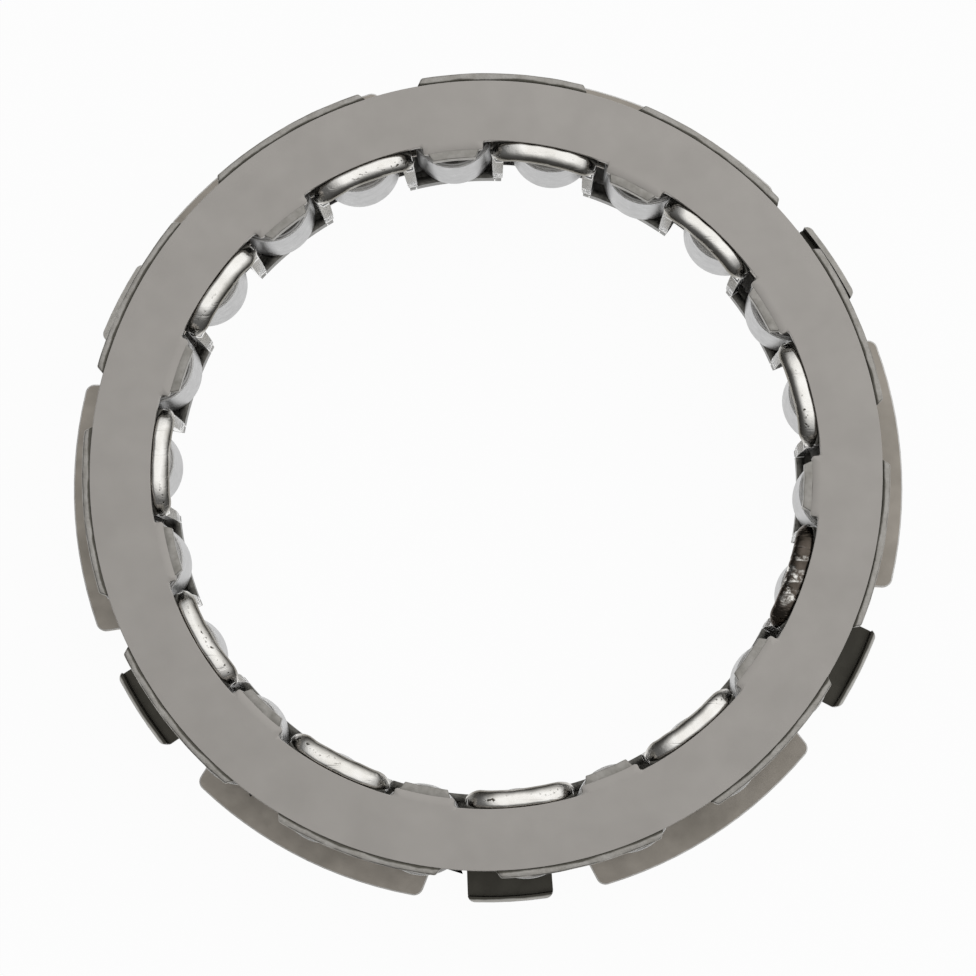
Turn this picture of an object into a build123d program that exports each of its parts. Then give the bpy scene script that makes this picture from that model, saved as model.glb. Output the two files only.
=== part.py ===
from build123d import *
from math import cos, hypot, radians, sin
import os

# Sprag clutch: a double-cage full-phasing type with a drawn cover plate on the front
# and two lugged plates on the rear. The ring axis is Z, the front plate faces +Z.

# ---- races the clutch works between
inner_race_radius = 27.1
annular_space = 7.83
outer_race_radius = inner_race_radius + annular_space
middle_radius = (inner_race_radius + outer_race_radius) / 2

# ---- sheet gauges
sheet = 0.70
tongue_sheet = 0.65
ribbon_sheet = 0.20
spring_sheet = 0.50
lug_sheet = 0.90

# ---- clearances
inner_race_clearance = 0.20
outer_race_clearance = 0.26
pilot_clearance = 0.08
end_float = 0.20
guard_float = 0.30
ribbon_gap = 0.75

# ---- how the elements share the circle
pair_count = 11
pair_pitch = 360 / pair_count
sprag_pitch = pair_pitch / 2
long_phase = 13.9
long_angles = [long_phase + pair_pitch * i for i in range(pair_count)]
short_angles = [angle + sprag_pitch for angle in long_angles]
sprag_angles = sorted(long_angles + short_angles)

# ---- sprag section, u along the circle and v along the radius
sprag_length = 8.5
inner_lobe_radius = 3.7
inner_lobe_shift = -0.10
inner_lobe_leading_angle = 68
inner_lobe_trailing_angle = 60
outer_lobe_radius = 4.0
outer_lobe_shift = 0.35
outer_lobe_half_angle = 52
waist_leading = 2.0
waist_trailing = 2.4
waist_height = 0.35

# ---- stations along the axis, rear face of the clutch at zero
body_height = 13.5
cover_to_sprag = 2.90
lug_plate_z = spring_sheet
cage_rear_z = lug_plate_z + lug_sheet
front_z = cage_rear_z + body_height
plate_rear_z = front_z - sheet
sprag_front_z = plate_rear_z - cover_to_sprag
sprag_rear_z = sprag_front_z - sprag_length

# ---- inner cage
cage_phase = 0.3
cage_inner_radius = inner_race_radius + inner_race_clearance
hem_squeeze = 0.03
bar_width = 2 * sheet - hem_squeeze
cage_wall_radius = cage_inner_radius + bar_width
cage_wall_inner_radius = cage_wall_radius - sheet
bar_recess = 0.05
bar_height = 1.35
bar_front_z = front_z - bar_recess
bar_rear_z = bar_front_z - bar_height
bar_bevel = 0.40
leg_offset = 8.2
leg_width = 2.2
bar_overhang = 0.3
bar_sweep = 2 * (leg_offset + bar_overhang) + leg_width
foot_sweep = pair_pitch - 2 * leg_offset + leg_width
foot_top_z = sprag_rear_z - guard_float
rim_set_back = 0.25
rim_inner_radius = cage_wall_radius + rim_set_back
rim_flange = 1.2
rim_outer_radius = rim_inner_radius + rim_flange
rim_lift = 0.4
rim_rear_z = lug_plate_z + rim_lift
rim_top_z = rim_rear_z + sheet

# ---- cover plate
strip_outer_radius = outer_race_radius - outer_race_clearance
plate_outer_radius = strip_outer_radius - tongue_sheet
tongue_inner_radius = cage_inner_radius
tooth_radius = tongue_inner_radius + sheet
notch_radius = cage_wall_radius + pilot_clearance
notch_width = 22.4
notch_mouth_width = 21.9
tongue_width = 9.0
tongue_taper = 0.8
tongue_depth = 1.2
tongue_rear_z = front_z - tongue_depth
strip_width = 25.0
strip_taper = 1.6
strip_depth = 1.3
strip_rear_z = front_z - strip_depth
stem_width = 4.6
stem_shift = 0.5
fold_bevel = 0.25
fuse = 0.10

# ---- outer cage, the basket inside the tongues
basket_inner_radius = plate_outer_radius - sheet
basket_band_top_z = sprag_rear_z - guard_float - 0.1
crossbar_width = 2.8

# ---- ribbon spring between the cages
ribbon_rim = 0.60
ribbon_window_rear_z = sprag_rear_z - end_float
ribbon_window_height = sprag_length + 2 * end_float
ribbon_rear_z = ribbon_window_rear_z - ribbon_rim

# ---- rear plates
body_overhang = 0.23
rear_body_radius = plate_outer_radius + body_overhang
rear_land = 3.75
rear_inner_radius = rear_body_radius - rear_land
lug_reach = 2.75
lug_radius = rear_body_radius + lug_reach
lug_count = 6
lug_pitch = 360 / lug_count
wide_lug_phase = 3.2
wide_lug_width = 35.0
wide_lug_root_width = 37.4
wide_lug_corner = 0.85
narrow_lug_phase = wide_lug_phase + lug_pitch / 2
narrow_lug_width = 11.8
narrow_lug_root_width = 12.7
narrow_lug_corner = 0.70
lip_height = 1.9
root_round = 0.50


def turned_plane(angle, height):
    """Level plane whose X points away from the ring axis at the given angle."""
    out = (cos(radians(angle)), sin(radians(angle)), 0)
    return Plane(origin=(0, 0, height), x_dir=out, z_dir=(0, 0, 1))


def ring_sector(inner_radius, outer_radius, inner_width, outer_width):
    """Ring sector about the X axis, its two ends free to taper."""
    with BuildSketch(mode=Mode.PRIVATE) as sector:
        with BuildLine():
            inside = CenterArc((0, 0), inner_radius, -inner_width / 2, inner_width)
            outside = CenterArc((0, 0), outer_radius, -outer_width / 2, outer_width)
            Line(inside @ 0, outside @ 0)
            Line(inside @ 1, outside @ 1)
        make_face()
    return sector.sketch


def arcs_at(part, radius, height):
    """Round edges of one radius about the ring axis at one height."""
    found = []
    for edge in part.edges().filter_by(GeomType.CIRCLE):
        middle = edge @ 0.5
        level = abs(middle.Z - height) < 1e-4
        if level and abs(edge.radius - radius) < 1e-4:
            found.append(edge)
    return found


def build_cover_plate():
    """Notched front plate with its folded-back outer and inner tongues."""
    notch = ring_sector(tooth_radius - fuse, notch_radius, notch_mouth_width, notch_width)
    tongue = ring_sector(
        tongue_inner_radius, tooth_radius + fuse, tongue_width - tongue_taper, tongue_width
    )
    strip = ring_sector(
        plate_outer_radius - fuse, strip_outer_radius, strip_width, strip_width - strip_taper
    )
    stem = ring_sector(plate_outer_radius, strip_outer_radius, stem_width, stem_width)
    with BuildPart() as cover_plate:
        with BuildSketch(Plane.XY.offset(plate_rear_z)):
            Circle(plate_outer_radius)
            Circle(tooth_radius, mode=Mode.SUBTRACT)
            for angle in long_angles:
                add(notch, rotation=angle, mode=Mode.SUBTRACT)
        extrude(amount=sheet)
        with BuildSketch(Plane.XY.offset(tongue_rear_z)):
            for angle in short_angles:
                add(tongue, rotation=angle)
        extrude(amount=front_z - tongue_rear_z)
        chamfer(arcs_at(cover_plate, tongue_inner_radius, front_z), length=fold_bevel)
        with BuildSketch(Plane.XY.offset(strip_rear_z)):
            for angle in long_angles:
                add(strip, rotation=angle + sprag_pitch / 2)
            Circle(plate_outer_radius, mode=Mode.SUBTRACT)
        extrude(amount=front_z - strip_rear_z)
        chamfer(arcs_at(cover_plate, strip_outer_radius, front_z), length=fold_bevel)
        with BuildSketch(Plane.XY.offset(cage_rear_z)):
            for angle in long_angles:
                add(stem, rotation=angle + sprag_pitch / 2 + stem_shift)
        extrude(amount=strip_rear_z - cage_rear_z)
    return cover_plate


def build_outer_cage():
    """Basket of the outer cage: a rear band and one crossbar in each gap."""
    crossbar = ring_sector(
        basket_inner_radius, plate_outer_radius, crossbar_width, crossbar_width
    )
    with BuildPart() as outer_cage:
        with BuildSketch(Plane.XY.offset(cage_rear_z)):
            Circle(plate_outer_radius)
            Circle(basket_inner_radius, mode=Mode.SUBTRACT)
        extrude(amount=basket_band_top_z - cage_rear_z)
        with BuildSketch(Plane.XY.offset(basket_band_top_z)):
            for angle in short_angles:
                add(crossbar, rotation=angle + sprag_pitch / 2)
        extrude(amount=plate_rear_z - basket_band_top_z)
    return outer_cage


def build_inner_cage():
    """Inner cage: hemmed bars over the long sprags, legs, feet under the short ones, rim."""
    leg = ring_sector(cage_wall_inner_radius, cage_wall_radius, leg_width, leg_width)
    foot = ring_sector(cage_wall_inner_radius, cage_wall_radius, foot_sweep, foot_sweep)
    web = ring_sector(cage_wall_inner_radius, rim_outer_radius, foot_sweep, foot_sweep)
    bar = ring_sector(cage_inner_radius, cage_wall_radius, bar_sweep, bar_sweep)
    with BuildPart() as inner_cage:
        with BuildSketch(Plane.XY.offset(bar_rear_z)):
            for angle in long_angles:
                add(bar, rotation=angle + cage_phase)
        extrude(amount=bar_front_z - bar_rear_z)
        crowns = inner_cage.faces().filter_by(Axis.Z).group_by(Axis.Z)[-1]
        chamfer(crowns.edges(), length=bar_bevel)
        with BuildSketch(Plane.XY.offset(foot_top_z)):
            for angle in long_angles:
                add(leg, rotation=angle + cage_phase - leg_offset)
                add(leg, rotation=angle + cage_phase + leg_offset)
        extrude(amount=bar_rear_z - foot_top_z)
        with BuildSketch(Plane.XY.offset(rim_top_z)):
            for angle in short_angles:
                add(foot, rotation=angle + cage_phase)
        extrude(amount=foot_top_z - rim_top_z)
        with BuildSketch(Plane.XY.offset(rim_rear_z)):
            Circle(rim_outer_radius)
            Circle(rim_inner_radius, mode=Mode.SUBTRACT)
            for angle in short_angles:
                add(web, rotation=angle + cage_phase)
        extrude(amount=rim_top_z - rim_rear_z)
    return inner_cage


def build_ribbon_spring():
    """Thin energising ribbon whose windows lie round the sprag waists."""
    window_width = waist_leading + waist_trailing + 2 * ribbon_gap
    window_shift = (waist_leading - waist_trailing) / 2
    window_depth = ribbon_sheet + window_width / 2
    with BuildPart() as ribbon_spring:
        with BuildSketch(Plane.XY.offset(ribbon_rear_z)):
            Circle(middle_radius + ribbon_sheet / 2)
            Circle(middle_radius - ribbon_sheet / 2, mode=Mode.SUBTRACT)
        extrude(amount=plate_rear_z - ribbon_rear_z)
        for angle in sprag_angles:
            with BuildSketch(turned_plane(angle, ribbon_window_rear_z)):
                with Locations((middle_radius, window_shift)):
                    Rectangle(window_depth, window_width)
            extrude(amount=ribbon_window_height, mode=Mode.SUBTRACT)
    return ribbon_spring


def build_sprag(angle):
    """One sprag: two offset rolling lobes joined by an uneven waist."""
    inner_centre = (inner_race_radius + inner_lobe_radius, inner_lobe_shift)
    outer_centre = (outer_race_radius - outer_lobe_radius, outer_lobe_shift)
    waist_radius = middle_radius + waist_height
    with BuildPart() as sprag:
        with BuildSketch(turned_plane(angle, sprag_rear_z)):
            with BuildLine():
                outer_lobe = CenterArc(
                    outer_centre,
                    outer_lobe_radius,
                    -outer_lobe_half_angle,
                    2 * outer_lobe_half_angle,
                )
                inner_lobe = CenterArc(
                    inner_centre,
                    inner_lobe_radius,
                    180 - inner_lobe_leading_angle,
                    inner_lobe_leading_angle + inner_lobe_trailing_angle,
                )
                ThreePointArc(outer_lobe @ 1, (waist_radius, waist_leading), inner_lobe @ 0)
                ThreePointArc(outer_lobe @ 0, (waist_radius, -waist_trailing), inner_lobe @ 1)
            make_face()
        extrude(amount=sprag_length)
    return sprag


def corners_at(sketch, radius):
    """Corners of a sketch that lie on one radius."""
    return [point for point in sketch.vertices() if abs(hypot(point.X, point.Y) - radius) < 1e-4]


def build_rear_lug_plate():
    """Flat rear plate with six wide lugs that locate in the housing."""
    lug = ring_sector(
        rear_body_radius - root_round, lug_radius, wide_lug_root_width, wide_lug_width
    )
    with BuildPart() as rear_lug_plate:
        with BuildSketch(Plane.XY.offset(lug_plate_z)) as outline:
            Circle(rear_body_radius)
            for index in range(lug_count):
                add(lug, rotation=wide_lug_phase + index * lug_pitch)
            fillet(corners_at(outline, lug_radius), radius=wide_lug_corner)
            fillet(corners_at(outline, rear_body_radius), radius=root_round)
            Circle(rear_inner_radius, mode=Mode.SUBTRACT)
        extrude(amount=lug_sheet)
    return rear_lug_plate


def build_rear_spring_ring():
    """Spring-steel ring under the lug plate with six narrow lugs turned up at the end."""
    lug = ring_sector(
        rear_body_radius - root_round, lug_radius, narrow_lug_root_width, narrow_lug_width
    )
    with BuildPart() as rear_spring_ring:
        with BuildSketch(Plane.XY) as outline:
            Circle(rear_body_radius - fuse)
            for index in range(lug_count):
                add(lug, rotation=narrow_lug_phase + index * lug_pitch)
            fillet(corners_at(outline, lug_radius), radius=narrow_lug_corner)
            Circle(rear_inner_radius, mode=Mode.SUBTRACT)
        extrude(amount=spring_sheet)
        with BuildSketch(Plane.XY.offset(spring_sheet)) as lips:
            for index in range(lug_count):
                add(lug, rotation=narrow_lug_phase + index * lug_pitch)
            fillet(corners_at(lips, lug_radius), radius=narrow_lug_corner)
            Circle(lug_radius - spring_sheet, mode=Mode.SUBTRACT)
        extrude(amount=lip_height)
    return rear_spring_ring


os.makedirs("parts", exist_ok=True)

cover_plate = build_cover_plate()
cover_plate.part.label = "cover_plate"
export_step(cover_plate.part, "parts/cover_plate.step")

outer_cage = build_outer_cage()
outer_cage.part.label = "outer_cage"
export_step(outer_cage.part, "parts/outer_cage.step")

inner_cage = build_inner_cage()
inner_cage.part.label = "inner_cage"
export_step(inner_cage.part, "parts/inner_cage.step")

ribbon_spring = build_ribbon_spring()
ribbon_spring.part.label = "ribbon_spring"
export_step(ribbon_spring.part, "parts/ribbon_spring.step")

rear_lug_plate = build_rear_lug_plate()
rear_lug_plate.part.label = "rear_lug_plate"
export_step(rear_lug_plate.part, "parts/rear_lug_plate.step")

rear_spring_ring = build_rear_spring_ring()
rear_spring_ring.part.label = "rear_spring_ring"
export_step(rear_spring_ring.part, "parts/rear_spring_ring.step")

for number, angle in enumerate(sprag_angles, start=1):
    sprag = build_sprag(angle)
    sprag.part.label = f"sprag_{number:02d}"
    export_step(sprag.part, f"parts/sprag_{number:02d}.step")
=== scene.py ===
"""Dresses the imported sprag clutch: sheet-metal cages, sprags, lugged rear plates and their finishes."""

from __future__ import annotations

import logging
import math
from collections.abc import Callable, Iterable
from dataclasses import dataclass
from enum import Enum

import bmesh
import bpy
from mathutils import Matrix, Vector, noise

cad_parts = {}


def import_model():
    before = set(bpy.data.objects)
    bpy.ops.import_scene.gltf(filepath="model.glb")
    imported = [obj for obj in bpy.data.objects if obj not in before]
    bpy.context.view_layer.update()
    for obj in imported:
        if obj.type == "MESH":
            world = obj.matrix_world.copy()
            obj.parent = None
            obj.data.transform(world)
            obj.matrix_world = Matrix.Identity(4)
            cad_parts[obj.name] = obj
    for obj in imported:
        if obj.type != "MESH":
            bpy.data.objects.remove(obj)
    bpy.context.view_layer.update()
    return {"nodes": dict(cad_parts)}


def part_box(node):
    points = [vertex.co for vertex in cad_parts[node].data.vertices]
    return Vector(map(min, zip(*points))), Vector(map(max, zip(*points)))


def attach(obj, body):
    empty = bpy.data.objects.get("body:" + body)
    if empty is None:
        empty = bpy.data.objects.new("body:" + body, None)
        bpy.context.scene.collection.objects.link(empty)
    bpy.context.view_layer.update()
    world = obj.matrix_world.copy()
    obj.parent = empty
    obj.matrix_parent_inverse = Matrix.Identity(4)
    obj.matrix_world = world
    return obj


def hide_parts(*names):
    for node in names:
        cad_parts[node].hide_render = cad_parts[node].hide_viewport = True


LOG = logging.getLogger("sprag_clutch")
MM = 0.001
# Radius in millimetres of the crease between the cover plate and its folded strips; the fold finish paints
# shade just outside it.
FOLD_SEAM = 34.02
Colour = tuple[float, float, float]


class Wire:
    """One value in a shader; arithmetic on it adds Math nodes."""

    def __init__(self, board: Board, socket: bpy.types.NodeSocket) -> None:
        """Wraps a socket of the board's tree.

        Args:
            board: The board that owns the node tree.
            socket: The output socket that carries the value.
        """
        self.board = board
        self.socket = socket

    def _math(self, operation: str, first: Wire | float, second: Wire | float) -> Wire:
        """Adds one Math node.

        Args:
            operation: Name of the Math operation.
            first: Left operand.
            second: Right operand.

        Returns:
            The result.
        """
        return self.board.node("ShaderNodeMath", {"operation": operation}, {0: first, 1: second})

    def __add__(self, other: Wire | float) -> Wire:
        """Sum."""
        return self._math("ADD", self, other)

    __radd__ = __add__

    def __sub__(self, other: Wire | float) -> Wire:
        """Difference."""
        return self._math("SUBTRACT", self, other)

    def __rsub__(self, other: float) -> Wire:
        """Difference from a number."""
        return self._math("SUBTRACT", other, self)

    def __mul__(self, other: Wire | float) -> Wire:
        """Product."""
        return self._math("MULTIPLY", self, other)

    __rmul__ = __mul__


class Board:
    """The node tree of one material or world."""

    def __init__(self, tree: bpy.types.NodeTree) -> None:
        """Clears the tree.

        Args:
            tree: The tree to fill.
        """
        self.tree = tree
        self.tree.nodes.clear()

    def _make(self, kind: str, settings: dict | None = None, inputs: dict | None = None) -> bpy.types.Node:
        """Adds a node, sets it and links what feeds it.

        Args:
            kind: Node type.
            settings: Properties set before the links; "stops" fills a colour ramp.
            inputs: Socket name or number to a number, colour or Wire.

        Returns:
            The new node.
        """
        made = self.tree.nodes.new(kind)
        for name, value in (settings or {}).items():
            if name == "stops":
                self._fill_ramp(made.color_ramp, value)
            else:
                setattr(made, name, value)
        for name, value in (inputs or {}).items():
            if isinstance(value, Wire):
                self.tree.links.new(value.socket, made.inputs[name])
            else:
                made.inputs[name].default_value = value
        return made

    def node(
        self,
        kind: str,
        settings: dict | None = None,
        inputs: dict | None = None,
        output: int | str = 0,
    ) -> Wire:
        """Adds a node and hands back one of its outputs.

        Args:
            kind: Node type.
            settings: Properties set before the links; "stops" fills a colour ramp.
            inputs: Socket name or number to a number, colour or Wire.
            output: Which output to hand back.

        Returns:
            The chosen output.
        """
        return Wire(self, self._make(kind, settings, inputs).outputs[output])

    @staticmethod
    def _fill_ramp(ramp: bpy.types.ColorRamp, stops: Iterable[tuple[float, Colour]]) -> None:
        """Sets a ramp's stops.

        Args:
            ramp: The ramp.
            stops: Position and colour of each stop.
        """
        for index, (place, colour) in enumerate(stops):
            stop = ramp.elements[index] if index < 2 else ramp.elements.new(place)
            stop.position = place
            stop.color = (*colour, 1.0)

    def place(
        self,
        offset: tuple[float, float, float] = (0, 0, 0),
        turn: tuple[float, float, float] = (0, 0, 0),
        stretch: tuple[float, float, float] = (1, 1, 1),
    ) -> Wire:
        """Object coordinates, moved, turned and stretched.

        Args:
            offset: Location of the Mapping node.
            turn: Rotation in radians.
            stretch: Scale of each axis.

        Returns:
            The coordinates.
        """
        coordinates = self.node("ShaderNodeTexCoord", output="Object")
        inputs = {"Vector": coordinates, "Location": offset, "Rotation": turn, "Scale": stretch}
        return self.node("ShaderNodeMapping", {}, inputs)

    def noise(
        self,
        scale: float,
        detail: float = 3.0,
        roughness: float = 0.55,
        where: Wire | None = None,
    ) -> Wire:
        """Noise in object space.

        Args:
            scale: Features per metre.
            detail: Octaves.
            roughness: Strength of the finer octaves.
            where: Coordinates other than the plain object ones.

        Returns:
            The noise factor.
        """
        vector = where or self.place()
        inputs = {"Vector": vector, "Scale": scale, "Detail": detail, "Roughness": roughness}
        return self.node("ShaderNodeTexNoise", {}, inputs)

    def spread(
        self,
        value: Wire,
        low: float,
        high: float,
        to_low: float = 0.0,
        to_high: float = 1.0,
    ) -> Wire:
        """Clamped change of range.

        Args:
            value: What to remap.
            low: Value that becomes to_low.
            high: Value that becomes to_high.
            to_low: Lower result.
            to_high: Upper result.

        Returns:
            The remapped value.
        """
        inputs = {"Value": value, "From Min": low, "From Max": high, "To Min": to_low, "To Max": to_high}
        return self.node("ShaderNodeMapRange", {"clamp": True}, inputs)

    def ring_radius(self, centre: tuple[float, float] = (0.0, 0.0)) -> Wire:
        """Distance in metres from the clutch's axis or from a line beside it.

        Args:
            centre: Where the line stands, in millimetres.

        Returns:
            The distance.
        """
        flat = self.place(offset=(-centre[0] * MM, -centre[1] * MM, 0), stretch=(1, 1, 0))
        return self.node("ShaderNodeVectorMath", {"operation": "LENGTH"}, {0: flat}, output="Value")

    def gap(self, value: Wire, middle: float) -> Wire:
        """How far a value is from a number."""
        return self.node("ShaderNodeMath", {"operation": "ABSOLUTE"}, {0: value - middle})

    def blend(self, factor: Wire | float, first: Wire | Colour, second: Wire | Colour) -> Wire:
        """Mixes two colours.

        Args:
            factor: Share of the second.
            first: Colour at 0.
            second: Colour at 1.

        Returns:
            The mixed colour.
        """
        pair = [colour if isinstance(colour, Wire) else (*colour, 1.0) for colour in (first, second)]
        inputs = {0: factor, 6: pair[0], 7: pair[1]}
        return self.node("ShaderNodeMix", {"data_type": "RGBA"}, inputs, 2)

    def bump(self, height: Wire, distance: float, base: Wire | None = None) -> Wire:
        """Bumps the surface.

        Args:
            height: Height field, 0 to 1.
            distance: Depth in metres.
            base: A bump below this one.

        Returns:
            The bumped normal.
        """
        inputs = {"Height": height, "Distance": distance, "Strength": 1.0}
        if base is not None:
            inputs["Normal"] = base
        return self.node("ShaderNodeBump", {}, inputs)

    def steel(self, **sockets: Wire | float | Colour) -> None:
        """Ends the tree in a Principled shader.

        Args:
            sockets: Socket names with _ for the space, and their values.
        """
        inputs = {}
        for name, value in sockets.items():
            inputs[name.replace("_", " ")] = (*value, 1.0) if isinstance(value, tuple) else value
        shader = self.node("ShaderNodeBsdfPrincipled", {}, inputs)
        self.end(shader)

    def end(self, shader: Wire, kind: str = "ShaderNodeOutputMaterial") -> None:
        """Links a shader to the output of the material or world."""
        self._make(kind, {}, {"Surface": shader})


@dataclass(frozen=True)
class SteelFinish:
    """One steel surface: its colour, the way it varies and its grain."""

    name: str
    colour: Colour
    stain: Colour
    roughness: float
    roughness_spread: float = 0.08
    metallic: float = 1.0
    stain_scale: float = 160.0
    stain_share: float = 0.5
    grain_scale: float = 9000.0
    grain_depth: float = 0.004
    scratch_scale: float = 0.0
    scratch_depth: float = 0.0
    # Colour inside the wandering radii: painted shade on the hem and the fold, the dark body on the spring
    # ring.
    shade_and_body: Colour | None = None
    shade_and_body_radii: tuple[float, float] = (27.35, 27.95)
    shade_and_body_wander: float = 0.16
    patch_centre: tuple[float, float] = (0.0, 0.0)
    patch_reach: float = 0.0
    patch_colour: Colour = (0.95, 0.93, 0.88)
    rib_depth: float = 0.03
    scar_radius: float = 0.0
    scar_reach: tuple[float, float] = (0.10, 0.26)
    scar_colour: Colour = (0.09, 0.08, 0.065)
    scar_depth: float = 0.012

    def make(self) -> bpy.types.Material:
        """Builds the material.

        Returns:
            The new material.
        """
        material = bpy.data.materials.new(self.name)
        material.use_nodes = True
        board = Board(material.node_tree)
        cloud = board.spread(board.noise(self.stain_scale, 4.0), 0.35, 0.7)
        colour = board.blend(cloud * self.stain_share, self.colour, self.stain)
        grain = board.noise(self.grain_scale, 4.0, 0.65)
        roughness = board.spread(
            board.noise(self.stain_scale * 5, 3.0),
            0.3,
            0.7,
            self.roughness - self.roughness_spread,
            self.roughness + self.roughness_spread,
        )
        normal = board.bump(grain, self.grain_depth * MM)
        if self.scratch_scale:
            roughness, normal = self._scratch(board, roughness, normal)
        if self.patch_reach:
            colour, normal = self._clear_patch(board, colour, normal)
        if self.shade_and_body:
            colour, normal = self._darken(board, colour, normal)
        board.steel(Base_Color=colour, Metallic=self.metallic, Roughness=roughness, Normal=normal)
        return material

    def _scratch(self, board: Board, roughness: Wire, normal: Wire) -> tuple[Wire, Wire]:
        """Draws fine scratches that run one way.

        Args:
            board: The material's board.
            roughness: Roughness so far.
            normal: Normal so far.

        Returns:
            The new roughness and normal.
        """
        run = board.place(turn=(0.3, 0.2, 0.7), stretch=(0.06, 1.0, 1.0))
        scratch = board.spread(board.noise(self.scratch_scale, 2.0, 0.5, run), 0.6, 0.72)
        normal = board.bump(1 - scratch, self.scratch_depth * MM, normal)
        return roughness + scratch * 0.1, normal

    def _clear_patch(self, board: Board, colour: Wire, normal: Wire) -> tuple[Wire, Wire]:
        """Rubs one patch bright, in broken ribs.

        Args:
            board: The material's board.
            colour: Colour so far.
            normal: Normal so far.

        Returns:
            The new colour and normal.
        """
        away = board.ring_radius(self.patch_centre) * (1 / (MM * self.patch_reach))
        inside = board.spread(away, 0.55, 1.0, 1.0, 0.0)
        ribbed = board.place(stretch=(0.35, 1, 1))
        ribs = board.spread(board.noise(1700.0, 2.0, 0.5, ribbed), 0.46, 0.58)
        fleck = board.spread(board.noise(2600.0, 3.0, 0.6), 0.42, 0.60)
        colour = board.blend(inside * ribs * fleck, colour, self.patch_colour)
        return colour, board.bump(1 - ribs, self.rib_depth * MM, normal)

    def _darken(self, board: Board, colour: Wire, normal: Wire) -> tuple[Wire, Wire]:
        """Darkens the steel inside a wandering radius, with scars beside it. On the hem and the fold this
        darkening is painted shade; on the spring ring it is the dark body, and the lighter band left
        outside the radius is a painted highlight on the tab rims.

        Args:
            board: The material's board.
            colour: Colour so far.
            normal: Normal so far.

        Returns:
            The new colour and normal.
        """
        wander = board.spread(board.noise(420.0, 3.0), 0.3, 0.7, -self.shade_and_body_wander, self.shade_and_body_wander)
        radius = board.ring_radius() * (1 / MM) + wander
        shade = board.spread(radius, *self.shade_and_body_radii, 1.0, 0.0)
        colour = board.blend(shade, colour, self.shade_and_body)
        if self.scar_radius:
            near = board.spread(board.gap(radius, self.scar_radius), *self.scar_reach, 1.0, 0.0)
            marked = board.spread(board.noise(75.0, 1.0), 0.52, 0.58)
            rough = board.spread(board.noise(2700.0, 2.0, 0.5), 0.59, 0.65)
            scar = near * marked * rough
            colour = board.blend(scar, colour, self.scar_colour)
            normal = board.bump(1 - scar, self.scar_depth * MM, normal)
        return colour, normal


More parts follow.
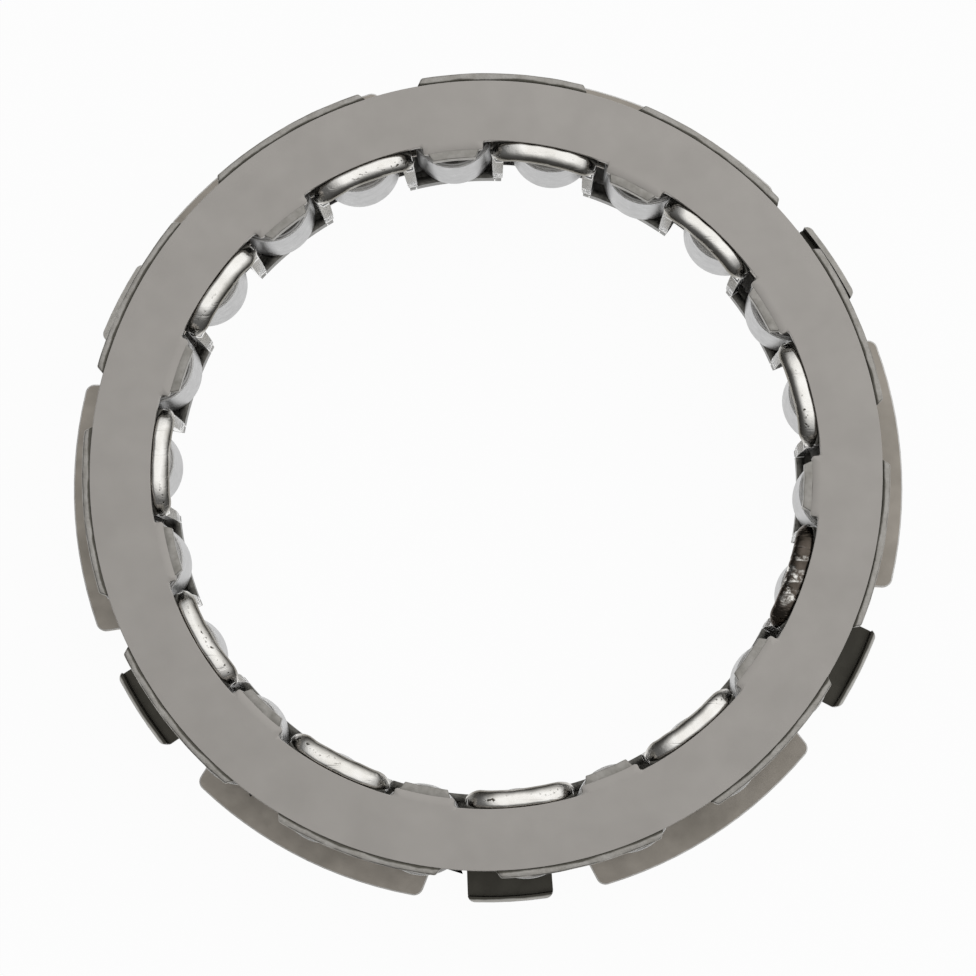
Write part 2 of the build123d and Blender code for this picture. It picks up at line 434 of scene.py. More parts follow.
class Finish(Enum):
    """Every surface finish of the clutch."""

    COVER = SteelFinish(
        "tumbled_cover_steel",
        (0.440, 0.419, 0.394),
        (0.415, 0.394, 0.369),
        0.46,
        roughness_spread=0.03,
        stain_scale=60.0,
        grain_scale=12000.0,
        grain_depth=0.0015,
    )
    FOLD = SteelFinish(
        "stretched_fold_steel",
        (0.44, 0.425, 0.40),
        (0.32, 0.305, 0.275),
        0.42,
        roughness_spread=0.06,
        stain_scale=1100.0,
        stain_share=0.8,
        grain_scale=2600.0,
        grain_depth=0.035,
        # Painted shade: a dark band along the crease with the cover plate.
        shade_and_body=(0.10, 0.095, 0.08),
        shade_and_body_radii=(FOLD_SEAM + 0.10, FOLD_SEAM + 0.22),
        shade_and_body_wander=0.09,
    )
    PAD = SteelFinish(
        "rubbed_tongue_steel",
        (0.40, 0.385, 0.36),
        (0.25, 0.24, 0.215),
        0.44,
        roughness_spread=0.04,
        stain_scale=1300.0,
        stain_share=0.8,
        grain_scale=2600.0,
        grain_depth=0.008,
    )
    HEM = SteelFinish(
        "hem_steel_with_painted_shade",
        (0.95, 0.935, 0.90),
        (0.74, 0.71, 0.65),
        0.17,
        roughness_spread=0.06,
        # Painted shade: the inner flank of each hem is darkened inside radius 27.22 to 27.85 mm; the scars
        # beside it are real dents.
        shade_and_body=(0.26, 0.245, 0.215),
        shade_and_body_radii=(27.22, 27.85),
        scar_radius=27.86,
        stain_scale=700.0,
        grain_scale=4200.0,
        grain_depth=0.010,
        scratch_scale=2600.0,
        scratch_depth=0.012,
    )
    RUSTY_HEM = SteelFinish(
        "weathered_hem_steel",
        (0.15, 0.125, 0.105),
        (0.045, 0.038, 0.03),
        0.17,
        roughness_spread=0.06,
        stain_scale=600.0,
        stain_share=0.9,
        grain_scale=4200.0,
        grain_depth=0.02,
        patch_centre=(26.3, -9.2),
        patch_reach=3.0,
    )
    LEG = SteelFinish(
        "drawn_cage_steel",
        (0.97, 0.965, 0.95),
        (0.88, 0.87, 0.85),
        0.20,
        roughness_spread=0.03,
        stain_scale=300.0,
        grain_scale=1500.0,
        grain_depth=0.0015,
    )
    # Painted shade: the dark feet stand in for the shadow deep in the gaps under the short sprags.
    FOOT = SteelFinish(
        "painted_shade_foot_steel",
        (0.17, 0.165, 0.15),
        (0.06, 0.058, 0.052),
        0.34,
        stain_scale=1200.0,
        stain_share=0.9,
        grain_scale=4000.0,
        grain_depth=0.02,
    )
    SPRAG_SIDE = SteelFinish(
        "ground_sprag_steel",
        (0.44, 0.44, 0.44),
        (0.37, 0.37, 0.37),
        0.32,
        roughness_spread=0.05,
        stain_scale=300.0,
        grain_scale=7000.0,
        grain_depth=0.002,
    )
    SPRAG_END = SteelFinish(
        "sawn_sprag_end_steel",
        (0.50, 0.49, 0.475),
        (0.16, 0.155, 0.15),
        0.34,
        stain_scale=520.0,
        stain_share=0.8,
        grain_scale=5000.0,
        grain_depth=0.006,
    )
    # Painted highlight: a pale, partly diffuse steel for edge bevels, so they read as bright lines.
    EDGE_HIGHLIGHT = SteelFinish(
        "painted_highlight_edge_steel",
        (0.92, 0.915, 0.90),
        (0.72, 0.71, 0.69),
        0.45,
        metallic=0.35,
        stain_scale=800.0,
    )
    LUG = SteelFinish(
        "tumbled_lug_steel",
        (0.420, 0.385, 0.340),
        (0.290, 0.266, 0.230),
        0.45,
        roughness_spread=0.04,
        stain_scale=130.0,
        stain_share=0.8,
        grain_scale=10000.0,
        grain_depth=0.002,
    )
    SPRING = SteelFinish(
        "dark_spring_steel_and_painted_light",
        (0.46, 0.45, 0.42),
        (0.30, 0.29, 0.27),
        0.30,
        # Dark inside radius 36.70 mm and lighter outside 36.84 mm: the light band is a painted highlight on
        # the tab rims.
        shade_and_body=(0.055, 0.052, 0.044),
        shade_and_body_radii=(36.70, 36.84),
        shade_and_body_wander=0.05,
        roughness_spread=0.05,
        stain_scale=120.0,
        grain_scale=9000.0,
        grain_depth=0.002,
    )
    # Painted highlight: the lighter lip colour on the spring-ring tabs of the +Y half.
    SPRING_EDGE = SteelFinish(
        "painted_highlight_spring_lip",
        (0.42, 0.405, 0.375),
        (0.24, 0.23, 0.21),
        0.34,
        stain_scale=900.0,
        grain_scale=5000.0,
        grain_depth=0.008,
    )


class Paints:
    """Makes each material once."""

    def __init__(self) -> None:
        """Starts with no material made."""
        self._made: dict[Finish, bpy.types.Material] = {}

    def get(self, finish: Finish) -> bpy.types.Material:
        """The finish's material."""
        if finish not in self._made:
            self._made[finish] = finish.value.make()
        return self._made[finish]


class Workpiece:
    """A mesh in the making, in millimetres, with its finishes."""

    def __init__(self, name: str, paints: Paints, finishes: list[Finish]) -> None:
        """Opens an empty mesh.

        Args:
            name: Name of the finished piece.
            paints: Where materials come from.
            finishes: Finishes by material number.
        """
        self.name = name
        self.paints = paints
        self.finishes = finishes
        self.bm = bmesh.new()

    def copy_node(self, node: bpy.types.Object) -> None:
        """Takes over a CAD node's mesh with its loose triangles merged into plain faces.

        Args:
            node: The CAD node's object.
        """
        self.bm.from_mesh(node.data)
        bmesh.ops.transform(self.bm, matrix=Matrix.Scale(1 / MM, 4), verts=self.bm.verts)
        bmesh.ops.remove_doubles(self.bm, verts=self.bm.verts, dist=1e-4)
        bmesh.ops.dissolve_limit(
            self.bm, angle_limit=math.radians(0.4), verts=self.bm.verts, edges=self.bm.edges
        )
        for face in self.bm.faces:
            face.material_index = 0

    def sector(
        self,
        radii: tuple[float, float],
        centre: float,
        widths: tuple[float, float],
        heights: tuple[float, float],
        steps: int = 8,
        material: int = 0,
        levels: int = 1,
    ) -> list[bmesh.types.BMVert]:
        """Adds a block of the ring: a curved bar between two radii.

        Args:
            radii: Inner and outer radius.
            centre: Angle of its middle in degrees.
            widths: Angle it spans at the inner and at the outer radius.
            heights: Bottom and top along the axis.
            steps: Divisions along the circle.
            material: Material number of its faces.
            levels: Divisions along the axis.

        Returns:
            Its corners.
        """
        made = bmesh.ops.create_grid(self.bm, x_segments=steps, y_segments=1, size=1.0)
        flat = made["verts"]
        for vert in flat:
            outer = vert.co.y > 0
            half = widths[1 if outer else 0] / 2
            angle = math.radians(centre + vert.co.x * half)
            radius = radii[1 if outer else 0]
            vert.co = (radius * math.cos(angle), radius * math.sin(angle), heights[0])
        block, top = list(flat), flat
        for level in range(levels):
            around = {face for vert in top for face in vert.link_faces}
            faces = [face for face in around if all(vert in top for vert in face.verts)]
            raised = bmesh.ops.extrude_face_region(self.bm, geom=faces, use_keep_orig=level == 0)
            top = [item for item in raised["geom"] if isinstance(item, bmesh.types.BMVert)]
            bmesh.ops.translate(self.bm, verts=top, vec=(0, 0, (heights[1] - heights[0]) / levels))
            block += top
        self._paint(block, material)
        bmesh.ops.recalc_face_normals(self.bm, faces=list({f for v in block for f in v.link_faces}))
        return block

    def _paint(self, verts: Iterable[bmesh.types.BMVert], material: int) -> None:
        """Gives the faces of some corners a material number."""
        for vert in verts:
            for face in vert.link_faces:
                face.material_index = material

    def round_edges(
        self,
        offset: float,
        segments: int = 2,
        keep: Callable[[bmesh.types.BMEdge], bool] | None = None,
        sharpness: float = 30.0,
    ) -> None:
        """Bevels sharp edges.

        Args:
            offset: Size of the bevel in millimetres.
            segments: Steps across it.
            keep: Test that picks the edges; all sharp ones without it.
            sharpness: Smallest turn in degrees that counts as sharp.
        """
        limit = math.radians(sharpness)
        edges = [
            edge
            for edge in self.bm.edges
            if len(edge.link_faces) == 2
            and edge.calc_face_angle(0.0) > limit
            and (keep is None or keep(edge))
        ]
        bmesh.ops.bevel(
            self.bm,
            geom=edges,
            offset=offset,
            offset_type="OFFSET",
            segments=segments,
            profile=0.5,
            affect="EDGES",
            clamp_overlap=True,
            material=-1,
        )

    def rumple(self, verts: Iterable[bmesh.types.BMVert], size: float, depth: float, seed: float) -> None:
        """Moves corners a little, as hand-bent sheet is never even.

        Args:
            verts: The corners.
            size: Width of a bump.
            depth: Largest move.
            seed: Picks the pattern.
        """
        for vert in verts:
            spot = vert.co / size + Vector((seed, seed * 0.37, seed * 0.71))
            vert.co += noise.noise_vector(spot) * depth

    @staticmethod
    def reshape(verts: Iterable[bmesh.types.BMVert], rule: Callable[[float, float, float], tuple]) -> None:
        """Moves corners by a rule on their place round the ring.

        Args:
            verts: The corners.
            rule: Turns radius, angle in degrees and height into new ones.
        """
        for vert in verts:
            across, along = vert.co.x, vert.co.y
            bearing = math.degrees(math.atan2(along, across))
            radius, angle, height = rule(math.hypot(across, along), bearing, vert.co.z)
            turn = math.radians(angle)
            vert.co = (radius * math.cos(turn), radius * math.sin(turn), height)

    def finish(
        self,
        body: str,
        slot: str,
        replaces: Iterable[str] = (),
        smooth: float = 32.0,
    ) -> bpy.types.Object:
        """Turns the mesh into a piece of the clutch.

        Args:
            body: Body that the piece rides on.
            slot: Material slot of the record; not used.
            replaces: CAD nodes that the piece stands for.
            smooth: Turn in degrees above which an edge stays sharp.

        Returns:
            The new object.
        """
        bmesh.ops.transform(self.bm, matrix=Matrix.Scale(MM, 4), verts=self.bm.verts)
        mesh = bpy.data.meshes.new(self.name)
        self.bm.to_mesh(mesh)
        self.bm.free()
        for polygon in mesh.polygons:
            polygon.use_smooth = True
        mesh.set_sharp_from_angle(angle=math.radians(smooth))
        for finish in self.finishes:
            mesh.materials.append(self.paints.get(finish))
        piece = bpy.data.objects.new(self.name, mesh)
        bpy.context.scene.collection.objects.link(piece)
        even = piece.modifiers.new("even_normals", "WEIGHTED_NORMAL")
        even.keep_sharp = True
        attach(piece, body)
        if replaces:
            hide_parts(*replaces)
        LOG.info("%s: %d faces", self.name, len(mesh.polygons))
        return piece


@dataclass
class RingPlan:
    """Sizes that the pieces share, in millimetres and degrees."""

    front: float
    strip_radius: float
    pairs: int = 11
    long_phase: float = 13.9
    sheet: float = 0.70
    fold_sheet: float = 0.65
    bore_radius: float = 27.30

    @classmethod
    def measure(cls) -> RingPlan:
        """Reads the plan's driving sizes off the CAD frame.

        Returns:
            The plan.
        """
        low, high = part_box("cover_plate")
        return cls(front=high.z / MM, strip_radius=round((high.x - low.x) / 2 / MM, 3))

    @property
    def pitch(self) -> float:
        """Angle from one long place to the next."""
        return 360 / self.pairs

    def long_angles(self) -> list[float]:
        """Middles of the places under a hemmed bar."""
        return [self.long_phase + self.pitch * index for index in range(self.pairs)]


@dataclass
class CoverPlate:
    """The matte front plate with its notches and folded tongues."""

    plan: RingPlan
    paints: Paints
    notch_radius: float = 28.75
    notch_width: float = 22.4
    notch_mouth: float = 21.9
    tongue_width: float = 9.0
    tongue_taper: float = 1.3
    tongue_edge: float = 0.06
    tongue_depth: float = 1.2
    strip_width: float = 25.0
    strip_taper: float = 1.6
    strip_depth: float = 1.3
    strip_edge: float = 0.15
    stem_width: float = 4.6
    stem_shift: float = 0.5
    stem_bottom: float = 1.4
    crease: float = -0.05
    edge: float = 0.07
    corner: float = 0.35
    strip_skin: float = 0.01
    tongue_skin: float = 0.02
    strip_rumple: tuple[float, float, float] = (1.6, 0.03, 2.0)
    tongue_rumple: tuple[float, float, float] = (1.3, 0.035, 5.0)

    def build(self) -> bpy.types.Object:
        """Makes the plate.

        Returns:
            The finished piece.
        """
        work = Workpiece("cover_plate_dressed", self.paints, [Finish.COVER, Finish.FOLD, Finish.PAD])
        self._disc(work)
        work.round_edges(self.edge, 2)
        self._strips(work)
        self._tongues(work)
        return work.finish("cage_assembly", "plate_steel", ["cover_plate"])

    def _disc(self, work: Workpiece) -> None:
        """Stamps the notched ring.

        Args:
            work: Where the faces go.
        """
        plan = self.plan
        tooth_cells, notch_cells = 8, 16
        cells = tooth_cells + notch_cells
        columns = cells * plan.pairs
        tooth_radius = plan.bore_radius + plan.sheet
        radii = (tooth_radius - self.tongue_skin, self.notch_radius, plan.strip_radius - plan.fold_sheet)
        made = bmesh.ops.create_grid(work.bm, x_segments=columns, y_segments=2, size=1.0)
        verts = made["verts"]
        doomed = set()
        for vert in verts:
            column = round((vert.co.x + 1) / 2 * columns)
            row = round(vert.co.y + 1)
            pair, cell = divmod(column, cells)
            notch = self.notch_mouth if row == 0 else self.notch_width
            tooth = plan.pitch - notch
            if cell <= tooth_cells:
                turn = -tooth / 2 + tooth * cell / tooth_cells
            else:
                turn = tooth / 2 + notch * (cell - tooth_cells) / notch_cells
            if row == 0 and tooth_cells < cell:
                doomed.add(vert)
            angle = math.radians(plan.long_phase + plan.pitch * (pair + 0.5) + turn)
            vert.co = (radii[row] * math.cos(angle), radii[row] * math.sin(angle), plan.front - plan.sheet)
        bmesh.ops.delete(work.bm, geom=list(doomed), context="VERTS")
        bmesh.ops.remove_doubles(work.bm, verts=work.bm.verts, dist=1e-3)
        raised = bmesh.ops.extrude_face_region(work.bm, geom=work.bm.faces[:], use_keep_orig=True)
        top = [item for item in raised["geom"] if isinstance(item, bmesh.types.BMVert)]
        bmesh.ops.translate(work.bm, verts=top, vec=(0, 0, plan.sheet))
        bmesh.ops.recalc_face_normals(work.bm, faces=work.bm.faces)
        work.round_edges(self.corner, 4, lambda edge: abs(edge.verts[0].co.z - edge.verts[1].co.z) > 0.3)

    def _strips(self, work: Workpiece) -> None:
        """Adds the outer tongues with their stems.

        Args:
            work: Where the faces go.
        """
        plan = self.plan
        folds = Workpiece("strips", self.paints, [])
        inner = plan.strip_radius - plan.fold_sheet + self.crease
        for index, angle in enumerate(plan.long_angles()):
            middle = angle + plan.pitch / 4
            folds.sector(
                (inner, plan.strip_radius),
                middle,
                (self.strip_width, self.strip_width - self.strip_taper),
                (plan.front - self.strip_depth, plan.front - self.strip_skin),
                26,
                1,
            )
            folds.sector(
                (inner - self.crease, plan.strip_radius - self.strip_skin),
                middle + self.stem_shift,
                (self.stem_width, self.stem_width),
                (self.stem_bottom, plan.front - self.strip_depth / 2),
                6,
                0,
            )
        folds.round_edges(self.strip_edge, 3)
        folds.rumple(folds.bm.verts, *self.strip_rumple)
        self._level(folds)
        self._merge(work, folds)

    def _tongues(self, work: Workpiece) -> None:
        """Adds the short tongues behind the teeth.

        Args:
            work: Where the faces go.
        """
        plan = self.plan
        folds = Workpiece("tongues", self.paints, [])
        for angle in plan.long_angles():
            folds.sector(
                (plan.bore_radius, plan.bore_radius + plan.sheet - self.crease),
                angle + plan.pitch / 2,
                (self.tongue_width - self.tongue_taper, self.tongue_width),
                (plan.front - self.tongue_depth, plan.front - self.tongue_skin),
                14,
                2,
            )
        folds.round_edges(self.tongue_edge, 3)
        folds.rumple(folds.bm.verts, *self.tongue_rumple)
        self._level(folds)
        self._merge(work, folds)

    def _level(self, folds: Workpiece) -> None:
        """Keeps rumpled folds under the front face and inside the rim.

        Args:
            folds: The mesh of the folds.
        """
        for vert in folds.bm.verts:
            vert.co.z = min(vert.co.z, self.plan.front - self.strip_skin)
            reach = math.hypot(vert.co.x, vert.co.y)
            if reach > self.plan.strip_radius:
                vert.co.xy *= self.plan.strip_radius / reach

    @staticmethod
    def _merge(work: Workpiece, folds: Workpiece) -> None:
        """Moves one mesh into another.

        Args:
            work: The mesh that grows.
            folds: The mesh that is used up.
        """
        holder = bpy.data.meshes.new("holder")
        folds.bm.to_mesh(holder)
        folds.bm.free()
        work.bm.from_mesh(holder)
        bpy.data.meshes.remove(holder)


@dataclass
class InnerCage:
    """The bright inner cage: hemmed bars, legs, feet and rear rim."""

    plan: RingPlan
    paints: Paints
    phase: float = 0.3
    leg_offset: float = 8.2
    leg_width: float = 2.2
    leg_lean: float = 0.5
    leg_corner: float = 0.7
    leg_tuck: float = 0.42
    bar_half: float = 9.6
    bar_width: float = 1.37
    bar_height: float = 1.35
    bar_recess: float = 0.02
    bar_radii: tuple[float, float] = (27.10, 28.71)
    crest_radius: float = 28.12
    fold_power: float = 2.0
    back_power: float = 6.0
    root_radius: float = 28.95
    root_bottom: float = 12.4
    root_sweep: float = 18.4
    end_round: float = 1.5
    shoulder: float = 3.0
    shoulder_drop: float = 1.25
    foot_top: float = 2.5
    foot_clear: float = 0.4
    foot_lap: float = 0.1
    leg_lap: float = 0.05
    leg_stop: float = 1.5
    tuck_rate: float = 1.6
    corner_share: float = 0.16
    root_gap: float = 0.05
    edge: float = 0.12
    bar_cuts: int = 9
    bar_hollow: float = 0.05
    bar_pinch: float = 0.12
    bar_rumple: tuple[float, float] = (1.1, 0.05)
    bar_skin: float = 0.005
    rim_rear: float = 0.9
    rim_set_back: float = 0.25
    rim_flange: float = 1.45
    weathered: int = 10

    @property
    def wall_radii(self) -> tuple[float, float]:
        """Inner and outer radius of the single wall."""
        outer = self.plan.bore_radius + self.bar_width
        return outer - self.plan.sheet, outer

    def build(self) -> bpy.types.Object:
        """Makes the cage.

        Returns:
            The finished piece.
        """
        finishes = [Finish.HEM, Finish.LEG, Finish.RUSTY_HEM, Finish.FOOT]
        work = Workpiece("inner_cage_dressed", self.paints, finishes)
        self._rim(work)
        for angle in self.plan.long_angles():
            self._foot(work, angle + self.plan.pitch / 2 + self.phase)
            for side in (-1, 1):
                self._leg(work, angle + self.phase, side)
            # A dark block behind each bar in the foot finish: painted shade that fills the gaps at the bar
            # ends with dark.
            root = (self.root_bottom, self.plan.front - self.bar_height - self.root_gap)
            radii = (self.wall_radii[0], self.root_radius)
            work.sector(radii, angle + self.phase, (self.root_sweep, self.root_sweep), root, 14, 3)
        work.round_edges(self.edge, 2)
        for index, angle in enumerate(self.plan.long_angles()):
            self._bar(work, angle + self.phase, index)
        return work.finish("inner_cage_body", "bright_steel", ["inner_cage"], 50.0)

    def _rim(self, work: Workpiece) -> None:
        """Turns the flat rear rim as one closed ring.

        Args:
            work: Where the faces go.
        """
        inner = self.wall_radii[1] + self.rim_set_back
        top = self.rim_rear + self.plan.sheet
        made = bmesh.ops.create_grid(work.bm, x_segments=1, y_segments=1, size=0.5)
        for vert in made["verts"]:
            radius = inner + (vert.co.x + 0.5) * self.rim_flange
            vert.co = (radius, 0, self.rim_rear + (vert.co.y + 0.5) * (top - self.rim_rear))
        section = list({edge for vert in made["verts"] for edge in vert.link_edges})
        faces = list({face for vert in made["verts"] for face in vert.link_faces})
        bmesh.ops.delete(work.bm, geom=faces, context="FACES_ONLY")
        bmesh.ops.spin(
            work.bm,
            geom=section + made["verts"],
            cent=(0, 0, 0),
            axis=(0, 0, 1),
            angle=math.tau,
            steps=176,
            use_merge=True,
        )
        bmesh.ops.recalc_face_normals(work.bm, faces=work.bm.faces)
        for face in work.bm.faces:
            face.material_index = 1

    def _foot(self, work: Workpiece, angle: float) -> None:
        """Adds the foot that joins two legs under a short sprag.

        Args:
            work: Where the faces go.
            angle: Where its middle is.
        """
        inner, outer = (radius - self.leg_tuck for radius in self.wall_radii)
        between_legs = self.plan.pitch - 2 * self.leg_offset
        sweep = between_legs + self.leg_width - 2 * self.leg_lean - self.foot_clear
        top = self.rim_rear + self.plan.sheet
        # Both blocks take the dark foot finish, painted shade under the short sprag.
        work.sector((inner, outer), angle, (sweep, sweep), (self.rim_rear, self.foot_top), 14, 3)
        flange = outer + self.leg_tuck + self.rim_set_back + self.foot_lap
        work.sector((outer - self.foot_lap, flange), angle, (sweep, sweep), (self.rim_rear, top), 14, 3)

    def _leg(self, work: Workpiece, angle: float, side: int) -> None:
        """Adds one leg, a little slimmer towards its foot.

        Args:
            work: Where the faces go.
            angle: Middle of the bar that it carries.
            side: -1 or 1, which end of the bar.
        """
        rear, front = self.rim_rear + self.leg_lap, self.plan.front - self.leg_stop
        middle = angle + side * self.leg_offset
        wall = self.wall_radii
        verts = work.sector(wall, middle, (self.leg_width, self.leg_width), (rear, front), 3, 1, 6)

        def slim(radius: float, turn: float, height: float) -> tuple[float, float, float]:
            """Draws the flank beside the long sprag back towards the foot."""
            offset = (turn - middle + 180) % 360 - 180
            share = (front - height) / (front - rear)
            inward = max(0.0, -offset * side) / (self.leg_width / 2)
            tuck = self.leg_tuck * min(1.0, self.tuck_rate * share)
            corner = max(0.0, share - (1 - self.corner_share)) / self.corner_share
            draw = self.leg_lean * share + self.leg_corner * corner
            return radius - tuck, turn + side * draw * inward, height

        work.reshape(verts, slim)

    def _bar(self, work: Workpiece, angle: float, index: int) -> None:
        """Adds one hemmed bar: a fat rod with drooping shoulders.

        Args:
            work: Where the faces go.
            angle: Where its middle is.
            index: Which bar it is.
        """
        plan = self.plan
        top = plan.front - self.bar_recess
        crest = self.crest_radius
        half = math.radians(self.bar_half) * crest
        straight = half - self.end_round
        made = bmesh.ops.create_uvsphere(work.bm, u_segments=28, v_segments=20, radius=1.0)
        verts = made["verts"]
        bmesh.ops.rotate(work.bm, verts=verts, cent=(0, 0, 0), matrix=Matrix.Rotation(math.pi / 2, 3, "Y"))
        for vert in verts:
            side = 1 if vert.co.x > 1e-4 else -1 if vert.co.x < -1e-4 else 0
            vert.co.x = vert.co.x * self.end_round + side * straight
        faces = list({face for vert in verts for face in vert.link_faces})
        grown = set(verts) | {edge for face in faces for edge in face.edges} | set(faces)
        for step in range(-self.bar_cuts, self.bar_cuts + 1):
            if step == 0:
                continue
            cut = bmesh.ops.bisect_plane(
                work.bm,
                geom=list(grown),
                plane_co=(step * straight / (self.bar_cuts + 0.5), 0, 0),
                plane_no=(1, 0, 0),
                dist=1e-5,
            )
            grown |= set(cut["geom"]) | set(cut["geom_cut"])
        corners = [item for item in grown if isinstance(item, bmesh.types.BMVert) and item.is_valid]
        pinch = self.bar_pinch * noise.noise(Vector((index * 2.3, 0.5, 0.1)))
        for vert in corners:
            along, out, up = vert.co
            power = self.fold_power if out < 0 else self.back_power
            reach = (abs(out) ** power + abs(up) ** power) ** (1 / power) or 1.0
            fatten = math.hypot(out, up) / reach
            limit = crest - self.bar_radii[0] if out < 0 else self.bar_radii[1] - crest
            slack = max(0.0, 1 - (along / half) ** 2)
            if out < 0:
                limit -= (self.bar_hollow + pinch) * slack
            bend = max(0.0, abs(along) - (half - self.shoulder)) / self.shoulder
            turn = math.radians(angle) + along / crest
            spread = crest + out * fatten * limit
            rise = up * fatten * self.bar_height / 2 - self.shoulder_drop * bend**2
            vert.co = (spread * math.cos(turn), spread * math.sin(turn), top - self.bar_height / 2 + rise)
        work.rumple(corners, *self.bar_rumple, index * 3.7 + 1)
        for vert in corners:
            vert.co.z = min(vert.co.z, plan.front - self.bar_skin)
        material = 2 if index == self.weathered else 0
        for vert in corners:
            for face in vert.link_faces:
                face.material_index = material


@dataclass
class Sprags:
    """The ground sprags that wedge between the races."""

    plan: RingPlan
    paints: Paints
    nodes: dict[str, bpy.types.Object]
    lobe_round: float = 0.12
    end_round: float = 0.11
    groove: float = 0.12
    highlight_band: float = 0.14

    def build(self) -> list[bpy.types.Object]:
        """Makes every sprag.

        Returns:
            The finished pieces.
        """
        pieces = []
        for number in range(1, 2 * self.plan.pairs + 1):
            pieces.append(self._sprag(f"sprag_{number:02d}"))
        return pieces

    def _sprag(self, node: str) -> bpy.types.Object:
        """Makes one sprag from its CAD node.

        Args:
            node: Name of the node.

        Returns:
            The finished piece.
        """
        finishes = [Finish.SPRAG_SIDE, Finish.SPRAG_END, Finish.EDGE_HIGHLIGHT]
        work = Workpiece(node + "_ground", self.paints, finishes)
        work.copy_node(self.nodes[node])
        low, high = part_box(node)
        spare = [face for face in work.bm.faces if face.normal.z < 0.9]
        bmesh.ops.delete(work.bm, geom=spare, context="FACES")
        bmesh.ops.dissolve_faces(work.bm, faces=work.bm.faces[:])
        drawn = bmesh.ops.extrude_face_region(work.bm, geom=work.bm.faces[:], use_keep_orig=True)
        rear = [item for item in drawn["geom"] if isinstance(item, bmesh.types.BMVert)]
        bmesh.ops.translate(work.bm, verts=rear, vec=(0, 0, (low.z - high.z) / MM))
        bmesh.ops.recalc_face_normals(work.bm, faces=work.bm.faces)
        work.round_edges(self.lobe_round, 2, lambda edge: self._rise(edge) > 1.0)
        for face in work.bm.faces:
            if abs(face.normal.z) > 0.9:
                face.material_index = 1
        work.round_edges(self.end_round, 2, lambda edge: self._rise(edge) < 0.1, 60.0)
        # Upward-facing bevels take the edge-highlight finish: a painted highlight along the front edge.
        for face in work.bm.faces:
            lift = face.normal.z
            face.material_index = 1 if abs(lift) > 0.95 or lift < -0.2 else 2 if lift > 0.2 else 0
        front = [face for face in work.bm.faces if face.normal.z > 0.95]
        # Known fault: the even offset throws corners outwards at the short edges by the waist, so the front
        # face folds over itself.
        # The inner band takes the edge-highlight finish: a painted highlight streak just inside the front
        # edge; the band before it keeps the end colour.
        for width, material in ((self.groove, 1), (self.highlight_band, 2)):
            made = bmesh.ops.inset_region(
                work.bm, faces=front, thickness=width, depth=0.0, use_even_offset=True
            )
            for face in made["faces"]:
                face.material_index = material
        return work.finish(node + "_body", "sprag_steel", [node], 40.0)

    @staticmethod
    def _rise(edge: bmesh.types.BMEdge) -> float:
        """How far an edge climbs along the axis."""
        return abs(edge.verts[0].co.z - edge.verts[1].co.z)


@dataclass
class RearPlates:
    """The lugged plate and the spring ring under it."""

    paints: Paints
    nodes: dict[str, bpy.types.Object]
    edge: float = 0.11
    lip_edge: float = 0.15
    lip_depth: float = 0.35
    crest_depth: float = 0.2

    def build(self) -> list[bpy.types.Object]:
        """Makes both plates.

        Returns:
            The finished pieces.
        """
        lugs = Workpiece("rear_lug_plate_dressed", self.paints, [Finish.LUG, Finish.EDGE_HIGHLIGHT])
        lugs.copy_node(self.nodes["rear_lug_plate"])
        lugs.round_edges(self.edge, 2, None, 60.0)
        # Bevels that slope upward take the edge-highlight finish: a painted highlight along the lug edges.
        for face in lugs.bm.faces:
            if 0.6 < face.normal.z < 0.97:
                face.material_index = 1
        finishes = [Finish.SPRING, Finish.SPRING_EDGE, Finish.EDGE_HIGHLIGHT]
        spring = Workpiece("rear_spring_ring_dressed", self.paints, finishes)
        spring.copy_node(self.nodes["rear_spring_ring"])
        spring.round_edges(self.lip_edge, 2)
        _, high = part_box("rear_spring_ring")
        for face in spring.bm.faces:
            middle = face.calc_center_median()
            outward = face.normal.x * middle.x + face.normal.y * middle.y
            # Painted highlight: lip faces on the +Y half take the lighter lip finish, and outward crest
            # bevels take the edge-highlight finish.
            if middle.z > high.z / MM - self.lip_depth and middle.y > 0:
                face.material_index = 1
            crest = middle.z > high.z / MM - self.crest_depth
            if crest and 0.3 < face.normal.z < 0.95 and outward > 0:
                face.material_index = 2
        return [
            lugs.finish("cage_assembly", "lug_steel", ["rear_lug_plate"]),
            spring.finish("cage_assembly", "spring_steel", ["rear_spring_ring"]),
        ]


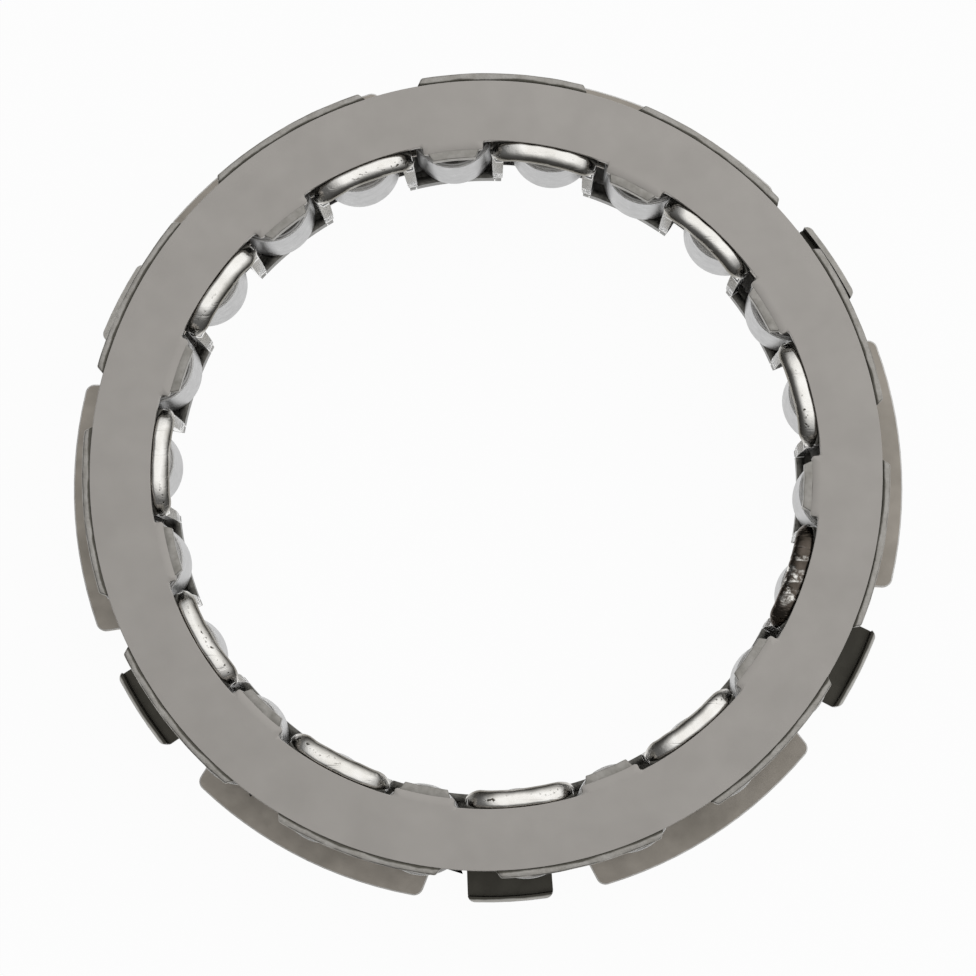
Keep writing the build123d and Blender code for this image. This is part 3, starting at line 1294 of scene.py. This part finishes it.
@dataclass
class Studio:
    """Camera, room light and the white ground that the clutch lies on."""

    plan: RingPlan
    elevation: float = 85.17
    bearing: float = -81.7
    distance: float = 320.0
    field_width: float = 83.6
    aim: tuple[float, float] = (0.208, -1.36)
    sensor: float = 36.0
    ground_white: float = 1.0
    ground_gap: float = 0.03
    glow_share: float = 0.96
    sky_lean: tuple[float, float] = (0.35, -0.30)
    sky: tuple[tuple[float, float], ...] = ((0.0, 0.10), (0.35, 0.12), (0.65, 0.50), (0.88, 1.0))

    def build(self) -> None:
        """Sets up the whole studio."""
        self._camera()
        self._ground()
        self._world()
        bpy.context.scene.view_settings.view_transform = "Standard"

    def _camera(self) -> None:
        """Places the camera nearly straight above the ring."""
        lens = bpy.data.cameras.new("camera")
        lens.sensor_width = self.sensor
        lens.lens = self.sensor * self.distance / self.field_width
        lens.clip_start = 0.01
        camera = bpy.data.objects.new("camera", lens)
        rise, turn = math.radians(self.elevation), math.radians(self.bearing)
        away = Vector((math.cos(turn) * math.cos(rise), math.sin(turn) * math.cos(rise), math.sin(rise)))
        right = Vector((0, 1, 0)).cross(away).normalized()
        up = away.cross(right)
        target = Vector((self.aim[0], self.aim[1], self.plan.front))
        pose = Matrix((right, up, away)).transposed().to_4x4()
        pose.translation = (target + away * self.distance) * MM
        camera.matrix_world = pose
        bpy.context.scene.collection.objects.link(camera)
        bpy.context.scene.camera = camera

    def _ground(self) -> None:
        """Lays the ground under the clutch."""
        bm = bmesh.new()
        bmesh.ops.create_grid(bm, x_segments=2, y_segments=2, size=3.0)
        bmesh.ops.translate(bm, verts=bm.verts, vec=(0, 0, -self.ground_gap * MM))
        mesh = bpy.data.meshes.new("ground")
        bm.to_mesh(mesh)
        bm.free()
        material = bpy.data.materials.new("white_ground")
        material.use_nodes = True
        board = Board(material.node_tree)
        white = (self.ground_white,) * 3
        paper = board.node("ShaderNodeBsdfDiffuse", {}, {"Color": (0.8, 0.8, 0.8, 1.0)})
        glow = board.node("ShaderNodeEmission", {}, {"Color": (*white, 1.0), "Strength": 1.0})
        seen: Wire | float = 0.0
        for ray in ("Is Camera Ray", "Is Glossy Ray", "Is Transmission Ray"):
            path = board.node("ShaderNodeLightPath", output=ray)
            seen = board.node("ShaderNodeMath", {"operation": "MAXIMUM"}, {0: seen, 1: path})
        lit = board.node("ShaderNodeMixShader", {}, {0: seen * self.glow_share, 1: paper, 2: glow})
        behind = board.node("ShaderNodeNewGeometry", output="Backfacing")
        clear = board.node("ShaderNodeBsdfTransparent")
        board.end(board.node("ShaderNodeMixShader", {}, {0: behind, 1: lit, 2: clear}))
        mesh.materials.append(material)
        ground = bpy.data.objects.new("ground", mesh)
        bpy.context.scene.collection.objects.link(ground)

    def _world(self) -> None:
        """Lights the room: bright overhead and dim towards the horizon."""
        world = bpy.data.worlds.new("studio")
        bpy.context.scene.world = world
        world.use_nodes = True
        board = Board(world.node_tree)
        coordinates = board.node("ShaderNodeTexCoord", output="Generated")
        lean = board.node("ShaderNodeMapping", {}, {"Vector": coordinates, "Rotation": (*self.sky_lean, 0)})
        height = board.node("ShaderNodeSeparateXYZ", {}, {"Vector": lean}, "Z")
        stops = [(place, (grey,) * 3) for place, grey in self.sky]
        ramp = board.node("ShaderNodeValToRGB", {"stops": stops}, {"Fac": height})
        sky = board.node("ShaderNodeBackground", {}, {"Color": ramp, "Strength": 1.0})
        backdrop = board.node("ShaderNodeBackground", {}, {"Color": (1.0, 1.0, 1.0, 1.0), "Strength": 1.0})
        seen = board.node("ShaderNodeLightPath", output="Is Camera Ray")
        mixed = board.node("ShaderNodeMixShader", {}, {0: seen, 1: sky, 2: backdrop})
        board.end(mixed, "ShaderNodeOutputWorld")


def corners(box: tuple[Vector, Vector]) -> list[list[float]]:
    """A box as plain numbers."""
    return [list(corner) for corner in box]


def main() -> None:
    """Builds the clutch and reports each piece."""
    logging.basicConfig(level=logging.INFO, format="%(name)s %(message)s")
    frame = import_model()
    nodes = frame["nodes"]
    paints = Paints()
    plan = RingPlan.measure()
    CoverPlate(plan, paints).build()
    InnerCage(plan, paints).build()
    Sprags(plan, paints, nodes).build()
    RearPlates(paints, nodes).build()
    # The outer cage and ribbon spring take the dark spring finish as painted shade, so the gaps between
    # legs and sprags read black.
    for node in ("outer_cage", "ribbon_spring"):
        for slot in nodes[node].material_slots:
            slot.material = paints.get(Finish.SPRING)
        LOG.info("%s keeps its solid", node)
    Studio(plan).build()


if __name__ == "__main__":
    main()
